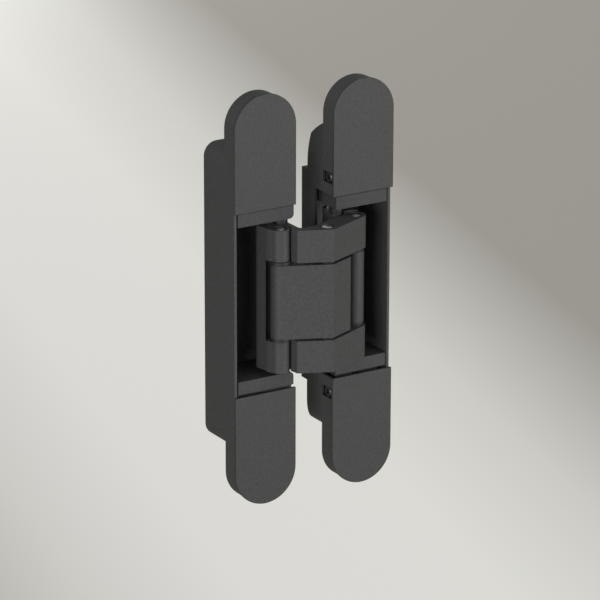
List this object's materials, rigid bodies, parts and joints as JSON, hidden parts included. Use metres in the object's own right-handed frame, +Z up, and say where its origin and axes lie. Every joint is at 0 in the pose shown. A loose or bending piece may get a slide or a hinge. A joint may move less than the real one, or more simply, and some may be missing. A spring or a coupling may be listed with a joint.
{
  "type": "concealed door hinge",
  "caption": "Concealed door hinge with two round-ended recessed housings, screw covers and a double scissor linkage that folds a flush door through 180 degrees, adjustable in three directions",
  "frame": {"origin": "middle of the frame housing's fixing screw pattern, in the plane in which the back of its flange seats on the wood", "axes": "X from the frame housing to the door housing, Y into the wood, Z up along the housings"},
  "size_m": [0.0647, 0.033, 0.1508],
  "materials": {
    "housing_coat": "fine textured black powder coat",
    "cover_coat": "fine textured black powder coat",
    "adapter_coat": "matt black coat",
    "arm_coat": "fine textured black powder coat",
    "link_coat": "fine textured black powder coat",
    "bush_plastic": "dark low-friction polymer",
    "screw_steel": "plain zinc plated steel",
    "pin_steel": "turned bright steel"
  },
  "bodies": {
    "frame": {"frame_housing": "housing_coat", "frame_cover_upper": "cover_coat", "frame_cover_lower": "cover_coat", "height_screws": "screw_steel"},
    "frame_carriage": {"frame_adapter_upper": "adapter_coat", "frame_adapter_lower": "adapter_coat", "frame_arm_pin": "pin_steel", "frame_arm_washers": "bush_plastic"},
    "outer_arm": {"outer_arm": "arm_coat", "centre_pin": "pin_steel", "door_knuckle_pin": "pin_steel"},
    "centre_arm": {"centre_arm": "arm_coat", "centre_bushes": "bush_plastic", "frame_knuckle_bushes": "bush_plastic"},
    "frame_link": {"frame_link": "link_coat", "frame_knuckle_pin": "pin_steel", "frame_link_pin": "pin_steel"},
    "door_link": {"door_link": "link_coat", "door_knuckle_bushes": "bush_plastic", "door_link_pin": "pin_steel"},
    "door_carriage": {"door_adapter_upper": "adapter_coat", "door_adapter_lower": "adapter_coat", "door_arm_pin": "pin_steel", "door_arm_washers": "bush_plastic"},
    "door_slides": {"door_slide_upper": "adapter_coat", "door_slide_lower": "adapter_coat"},
    "door": {"door_housing": "housing_coat", "door_cover_upper": "cover_coat", "door_cover_lower": "cover_coat"},
    "depth_screw_upper": {"depth_screw_upper": "screw_steel"},
    "depth_screw_lower": {"depth_screw_lower": "screw_steel"},
    "side_screw_upper": {"side_screw_upper": "screw_steel"},
    "side_screw_lower": {"side_screw_lower": "screw_steel"}
  },
  "joints": [
    {"name": "height", "type": "slide", "parent": "frame", "child": "frame_carriage", "axis": [0, 0, 1], "range_m": [-0.002, 0.002]},
    {"name": "fold", "type": "hinge", "parent": "frame_carriage", "child": "outer_arm", "pos_m": [0.00915, -0.0025, 0], "axis": [0, 0, 1], "range_deg": [-108.9, 0]},
    {"name": "centre_fold", "type": "hinge", "parent": "outer_arm", "child": "centre_arm", "pos_m": [0.021, -0.01425, 0], "axis": [0, 0, 1], "range_deg": [0, 33.61]},
    {"name": "door_fold", "type": "hinge", "parent": "centre_arm", "child": "door_carriage", "pos_m": [0.03172, -0.0025, 0], "axis": [0, 0, 1], "range_deg": [-104.7, 0]},
    {"name": "frame_link_fold", "type": "hinge", "parent": "centre_arm", "child": "frame_link", "pos_m": [0.0056, -0.00795, 0], "axis": [0, 0, 1], "range_deg": [-12.13, 0]},
    {"name": "door_link_fold", "type": "hinge", "parent": "outer_arm", "child": "door_link", "pos_m": [0.0364, -0.00795, 0], "axis": [0, 0, 1], "range_deg": [0, 15.38]},
    {"name": "side", "type": "slide", "parent": "door_carriage", "child": "door_slides", "axis": [0, -1, 0], "range_m": [0, 0.0015]},
    {"name": "depth", "type": "slide", "parent": "door_slides", "child": "door", "axis": [1, 0, 0], "range_m": [0, 0.001]},
    {"name": "depth_screw_upper_turn", "type": "hinge", "parent": "door", "child": "depth_screw_upper", "pos_m": [0.04, -0.0031, 0.04], "axis": [1, 0, 0], "range_deg": [0, 470]},
    {"name": "side_screw_upper_turn", "type": "hinge", "parent": "door_slides", "child": "side_screw_upper", "pos_m": [0.04, -0.0015, 0.03515], "axis": [0, 1, 0], "range_deg": [0, 695]},
    {"name": "depth_screw_lower_turn", "type": "hinge", "parent": "door", "child": "depth_screw_lower", "pos_m": [0.04, -0.0031, -0.04], "axis": [1, 0, 0], "range_deg": [0, 470]},
    {"name": "side_screw_lower_turn", "type": "hinge", "parent": "door_slides", "child": "side_screw_lower", "pos_m": [0.04, -0.0015, -0.03515], "axis": [0, 1, 0], "range_deg": [0, 695]}
  ],
  "couplings": [
    {"joint": "centre_fold", "follows": "fold", "ratio": -0.30812},
    {"joint": "door_fold", "follows": "fold", "ratio": 0.96094},
    {"joint": "frame_link_fold", "follows": "fold", "ratio": 0.11088},
    {"joint": "door_link_fold", "follows": "fold", "ratio": -0.14078},
    {"joint": "depth_screw_upper_turn", "follows": "depth", "rad_per_m": 7854},
    {"joint": "side_screw_upper_turn", "follows": "side", "rad_per_m": 7854},
    {"joint": "depth_screw_lower_turn", "follows": "depth", "rad_per_m": 7854},
    {"joint": "side_screw_lower_turn", "follows": "side", "rad_per_m": 7854}
  ]
}
